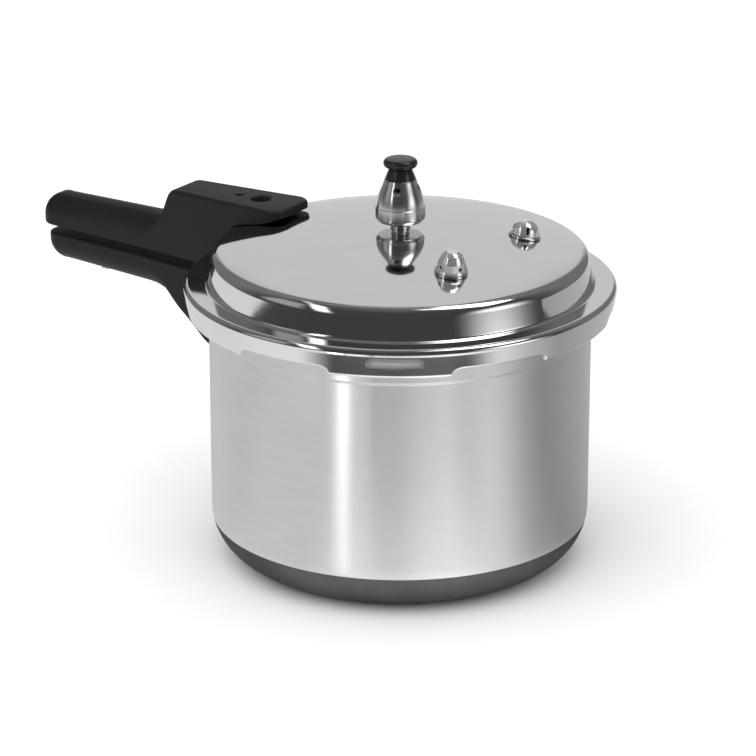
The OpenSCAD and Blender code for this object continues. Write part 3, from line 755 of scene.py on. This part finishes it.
def build_pot_handle():
    end = -POT_GRIP_LOW.x
    root = 104
    sides = [(root, 18), (112, 17.6), (150, 15), (176, 13.2), (end, GRIP_HALF_W)]
    flare = rounded([(root, 94), (128, 108, 8), (138, 117, 6), (150, 126.5, 4),
                     (158, 132.5, 9), (end, 137.6)], 10, closed=False)

    def bottom(x):
        return polyline_at(flare, x)

    def top(x):
        return line_at((126, 150.1), (247, 154.8), x) if x > 125.4 else 147.2

    def bottom_round(x):
        return 2.5 + 10.5 * smoothstep(146, 172, x)

    outline = bar_outline(root, 0, sides, end, GRIP_END_ROUND)
    spine = (root + 8, end - GRIP_HALF_W)
    handle = skeleton_loft("pot_handle_moulding", outline, spine, top, bottom,
                           lambda x: 1.4, bottom_round)
    shift = 0.6
    wall = [(0, 80), (POT_R + shift, 80), (POT_R + shift, STEP_Z - 1),
            (POT_R + STEP_OUT + shift, STEP_Z), (POT_R + STEP_OUT + shift, 170), (0, 170)]
    holes = [lathe("cutter", wall, SIDES)]
    lean = Matrix.Rotation(math.radians(2.2), 4, "Y")
    tongue = Matrix.Translation((-110 * MM, 0, 137.4 * MM)) @ lean
    pocket = [(-114, -10.6), (6, -10.6), (6, 10.6), (-114, 10.6)]
    holes.append(prism("cutter", pocket, -0.3, 2.8, place=tongue))
    for x in POT_SCREW_X:
        there = tongue @ Matrix.Translation((-x * MM, 0, 0))
        holes.append(drill(SCREW_SINK_R, -20, -3.2, there))
        holes.append(drill(SCREW_HOLE_R, -8, 7.3, there))
    plate = [(-116, -14.8), (-104, -14.8), (-104, 14.8), (-116, 14.8)]
    holes.append(prism("cutter", plate, 103.2, 140.6))
    cut(handle, holes, sharp=48)
    hand_over(handle, "pot", "handle_black", PHENOLIC, "pot_handle")


# ------------------------------------------------------------------ regulator

def build_weight():
    low, high = WEIGHT_LOW.z, WEIGHT_HIGH.z
    wide, band, neck = WEIGHT_HIGH.x, WEIGHT_LOW.z + 8.6, 9.1
    cone = []
    for i in range(13):
        t = i / 12
        r = wide - 0.35 + (neck - wide + 0.35) * t + 1.1 * math.sin(math.pi * t) * (1 - t)
        cone.append((r, band + 0.25 + (high - band - 0.25) * t))
    section = rounded([(5.5, low, 0.3), (wide - 1.6, low, 0.8), (wide, low + 2.3, 1.2),
                       (wide, band, 0.2), (wide - 0.35, band + 0.25)], 4, closed=False)
    section += cone[1:-1]
    section += rounded([cone[-2], (neck, high, 0.25), (3.2, high, 0.2), (3.2, high - 2.7),
                        (4.7, high - 2.7), (4.7, low + 11.4), (5.5, low + 11.4), (5.5, low, 0.3)],
                       3, closed=False)[1:-1]
    weight = lathe("weight_body", section, sharp=38)
    holes = []
    for i in range(4):
        at = radial(-69 + 90 * i, 220.4)
        holes.append(drill(2.15, 3.5, 11.35, at, flare=0.5, flare_depth=0.5))
    holes.append(drill(1.1, 5, 14.2, radial(-125, band - 0.6)))
    cut(weight, holes, sharp=38)
    hand_over(weight, "regulator", "chrome", CHROME, "regulator_weight")


def build_collar():
    base, crown = COLLAR_LOW.z, COLLAR_HIGH.z
    section = rounded([(3.2, base), (9, base, 0.25), (6.2, crown, 0.2), (2.4, crown),
                       (2.4, 229), (3.2, 229)], 3)
    collar = lathe("collar_cone", section, sharp=38)
    hand_over(collar, "regulator", "knob_black", KNOB_BLACK, "regulator_collar")


def build_knob():
    r, base, crown = KNOB_HIGH.x, COLLAR_HIGH.z + 0.05, KNOB_HIGH.z
    edge = 2.62
    section = [(0, 229.2), (2.3, 229.2), (2.3, base), (5.4, base)]
    section += arc((r - edge, base + edge), edge, -90, 72, 18)
    section += [(5.6, crown - 0.1), (3, crown - 0.02), (0, crown)]
    knob = lathe("knob_grip", section, sharp=50)
    hand_over(knob, "regulator", "knob_black", KNOB_BLACK, "regulator_knob")


# ------------------------------------------------------------------ valves

def build_relief_cap():
    at = on_dome(-VALVE_AZ, VALVE_R)
    section = rounded([(7.9, 1.55), (8.9, 1.55, 0.2), (8.9, 2.4, 0.3), (8.45, 3.1, 0.6),
                       (7.3, 7.6, 6), (5.5, 11.2, 1.8), (3.2, 13.0, 2.2), (0, 13.1), (0, 11.9),
                       (2.8, 11.9, 0.8), (4.4, 10.2, 0.8), (7.7, 2.6)], 5)
    cap = lathe("relief_valve_cap", section, sharp=38, place=at)
    holes = []
    for i in range(4):
        there = at @ radial(13 + 90 * i, 5)
        holes.append(drill(1.05, 4, 7.9, there, flare=0.3, flare_depth=0.3))
    cut(cap, holes, sharp=38)
    hand_over(cap, "lid", "chrome", CAP_CHROME, "relief_cap")


def build_safety_cap():
    at = on_dome(VALVE_AZ, VALVE_R)
    section = rounded([(7.1, 1.55), (8.3, 1.55, 0.2), (8.3, 2.1, 0.2)], 4, closed=False)
    section += arc((0, 1.9), 8, 8, 90, 18) + arc((0, 1.9), 6.9, 90, 2, 14)
    cap = lathe("safety_valve_cap", section, sharp=38, place=at)
    slot = arc((0, 3.8), 0.8, 180, 360, 8) + arc((0, 6.4), 0.8, 0, 180, 8)
    upright = Matrix(((0, 0, 1, 0), (1, 0, 0, 0), (0, 1, 0, 0), (0, 0, 0, 1)))
    holes = []
    for i in range(4):
        turn = Matrix.Rotation(math.radians(5 + 90 * i), 4, "Z")
        holes.append(prism("cutter", slot, 4, 12, at @ turn @ upright))
    cut(cap, holes, sharp=38)
    hand_over(cap, "lid", "chrome", CAP_CHROME, "safety_cap")


# ------------------------------------------------------------------ studio

CAMERA_AZIMUTH = 33
CAMERA_ELEVATION = 19.97
CAMERA_DISTANCE = 2.0638
CAMERA_TARGET = (-0.0290, 0.0213, 0.0926)
CAMERA_LENS = 166.7


def towards(azimuth, elevation):
    """Unit direction, with the azimuth counted from the camera, positive to its right."""
    a, e = math.radians(azimuth + CAMERA_AZIMUTH), math.radians(elevation)
    return Vector((math.sin(a) * math.cos(e), -math.cos(a) * math.cos(e), math.sin(e)))


def build_camera():
    data = bpy.data.cameras.new("camera")
    data.lens = CAMERA_LENS
    data.sensor_width = 36
    data.clip_end = 100
    camera = bpy.data.objects.new("camera", data)
    bpy.context.scene.collection.objects.link(camera)
    back = towards(0, CAMERA_ELEVATION)
    camera.location = Vector(CAMERA_TARGET) + back * CAMERA_DISTANCE
    camera.rotation_mode = "QUATERNION"
    camera.rotation_quaternion = (-back).to_track_quat("-Z", "Y")
    bpy.context.scene.camera = camera


def glow(name, strength):
    material = bpy.data.materials.new(name)
    material.use_nodes = True
    tree = material.node_tree
    tree.nodes.clear()
    out = tree.nodes.new("ShaderNodeOutputMaterial")
    light = tree.nodes.new("ShaderNodeEmission")
    light.inputs["Strength"].default_value = strength
    tree.links.new(light.outputs[0], out.inputs["Surface"])
    return material


def reflected_only(piece):
    """A studio card: seen in polished surfaces, and by nothing else."""
    piece.visible_camera = False
    piece.visible_diffuse = False
    piece.visible_shadow = False
    piece.visible_transmission = False
    piece.visible_volume_scatter = False


# brightness of the dark part of the studio, by elevation
DARK = ((-4, 0.05), (50, 0.055), (75, 0.12), (90, 0.13))


def studio_tone(azimuth, elevation):
    """Brightness of the studio seen in the metal: a pale backdrop behind, dark elsewhere."""
    behind = smoothstep(152, 166, abs(azimuth)) * (1 - smoothstep(60, 74, elevation))
    dark = polyline_at(DARK, elevation) + 0.12 * smoothstep(80, 120, abs(azimuth))
    return dark + (0.62 - dark) * behind


# painted reflection of the table round the pot, by azimuth: dim on the right, brightest in front of
# it
MIRRORED_TABLE_TONE = ((-162, 0.68), (-118, 0.74), (-92, 0.76), (-72, 0.82), (-41, 0.84), (-15, 1.15), (-2, 1.1),
         (10, 1.4), (23, 1.5), (36, 1.0), (50, 0.74), (65, 0.5), (83, 0.34), (106, 0.42),
         (133, 0.5), (162, 0.68))


def floor_tone(azimuth, distance):
    """Brightness of the table seen in the metal, glowing on a disc: a painted reflection. The lid's
    skirt mirrors only a narrow ring of it, which is dark in front; past that ring the front dims a
    little."""
    tone = polyline_at(MIRRORED_TABLE_TONE, azimuth)
    front = 1 - smoothstep(30, 50, abs(azimuth))
    ring = smoothstep(0.25, 0.28, distance) * (1 - smoothstep(0.335, 0.36, distance))
    fade = 0.5 * smoothstep(0.38, 0.52, distance) * (1 - smoothstep(12, 45, abs(azimuth)))
    return tone * (1 - 0.91 * front * ring) * (1 - fade)


def toned(name, points, tones, faces):
    """A glowing surface whose brightness is stored at its points."""
    mesh = bpy.data.meshes.new(name)
    mesh.from_pydata(points, [], faces)
    mesh.attributes.new("tone", "FLOAT", "POINT").data.foreach_set("value", tones)
    material = glow(name, 1)
    tree = material.node_tree
    read = tree.nodes.new("ShaderNodeAttribute")
    read.attribute_name = "tone"
    tree.links.new(read.outputs["Fac"], tree.nodes["Emission"].inputs["Strength"])
    material.cycles.emission_sampling = "NONE"
    mesh.materials.append(material)
    piece = bpy.data.objects.new(name, mesh)
    bpy.context.scene.collection.objects.link(piece)
    reflected_only(piece)


def build_reflections():
    columns, rows, radius = 240, 60, 2.6
    turns = [-180 + 360 * j / columns for j in range(columns)]
    heights = [-4 + 94 * i / rows for i in range(rows + 1)]
    points = [towards(a, e) * radius for e in heights for a in turns]
    tones = [studio_tone(a, e) for e in heights for a in turns]
    toned("reflected_studio", points, tones, net(rows + 1, columns, loop_rows=False))
    steps = [0.12 * (radius / 0.12) ** (i / 40) for i in range(41)]
    points = [towards(a, 0) * r + Vector((0, 0, 0.0005)) for r in steps for a in turns]
    tones = [floor_tone(a, r) for r in steps for a in turns]
    toned("reflected_floor", points, tones, net(41, columns, loop_rows=False))


def glowing_patch(name, point_at, strength, fade, steps=28):
    """A glowing card that dims towards its edges over a share of its width. point_at gives its
    points from two shares of its width and height."""
    shares = [i / steps for i in range(steps + 1)]

    def tone(across, up):
        return (smoothstep(0, fade, min(across, 1 - across))
                * smoothstep(0, fade, min(up, 1 - up)))

    points = [point_at(across, up) for up in shares for across in shares]
    tones = [0.06 + strength * tone(across, up) for up in shares for across in shares]
    toned(name, points, tones, net(steps + 1, steps + 1, loop_rows=False, loop_columns=False))


def softbox(name, rows, strength, fade=0.25, radius=1.6):
    """A patch of sky. Each row gives an elevation and the azimuths of its two edges."""
    lefts = [(row[0], row[1]) for row in rows]
    rights = [(row[0], row[2]) for row in rows]

    def point_at(across, up):
        elevation = rows[0][0] + (rows[-1][0] - rows[0][0]) * up
        left, right = polyline_at(lefts, elevation), polyline_at(rights, elevation)
        return towards(left + (right - left) * across, elevation) * radius + Vector((0, 0, 0.12))

    glowing_patch(name, point_at, strength, fade)


def upright_card(name, azimuths, distance, height, strength):
    """A low card that stands on the table and shows in the pot's wall alone."""
    def point_at(across, up):
        azimuth = azimuths[0] + (azimuths[1] - azimuths[0]) * across
        return towards(azimuth, 0) * distance + Vector((0, 0, 0.001 + height * up))

    glowing_patch(name, point_at, strength, 0.3)


def build_floor():
    half = 40
    mesh = bpy.data.meshes.new("floor")
    mesh.from_pydata([(-half, -half, 0), (half, -half, 0), (half, half, 0), (-half, half, 0)],
                     [], [(0, 1, 2, 3)])
    s = Shader("pale_floor")
    cloud = s.noise(6, detail=3)
    tone = s.mix(s.span(cloud, 0, 1, 0.3, 0.7), grey(0.90), grey(0.93))
    mesh.materials.append(s.set(colour=tone, rough=s.span(cloud, 0.75, 0.85), specular=0.1))
    floor = bpy.data.objects.new("floor", mesh)
    bpy.context.scene.collection.objects.link(floor)


def build_lights():
    world = bpy.data.worlds.new("studio")
    bpy.context.scene.world = world
    world.use_nodes = True
    world.node_tree.nodes["Background"].inputs["Color"].default_value = (1, 1, 1, 1)
    world.node_tree.nodes["Background"].inputs["Strength"].default_value = 0.95
    world.cycles_visibility.glossy = False
    data = bpy.data.lights.new("soft_key", "SUN")
    data.energy = 1.2
    data.angle = math.radians(70)
    key = bpy.data.objects.new("soft_key", data)
    bpy.context.scene.collection.objects.link(key)
    key.rotation_mode = "QUATERNION"
    key.rotation_quaternion = towards(-30, 62).to_track_quat("Z", "Y")
    key.visible_glossy = False


def build_studio():
    build_camera()
    build_floor()
    build_lights()
    build_reflections()
    softbox("left_strip", ((6, -52, -36), (20, -53, -38), (40, -62, -46), (54, -78, -54),
                           (62, -122, -84), (68, -154, -128)), 2.3, fade=0.42)
    softbox("left_panel", ((6, -92, -52), (40, -92, -61), (50, -92, -72)), 0.3)
    softbox("right_panel", ((-8, 26, 90), (10, 32, 84), (36, 40, 82)), 1.7, fade=0.5)
    softbox("right_top", ((48, 64, 94), (58, 56, 104), (70, 36, 126), (80, 10, 156)), 3.5,
            fade=0.14)
    upright_card("wall_strip", (-33.5, -24.5), 0.39, 0.125, 6.5)
    upright_card("wall_glow", (-27, -12), 0.395, 0.125, 1.4)
    view = bpy.context.scene.view_settings
    view.view_transform = "Standard"


build_studio()
build_lid()
build_pot()
build_lid_handle()
build_pot_handle()
build_weight()
build_collar()
build_knob()
build_relief_cap()
build_safety_cap()
for node, look in CAD_LOOKS.items():
    dress(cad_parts[node], look)
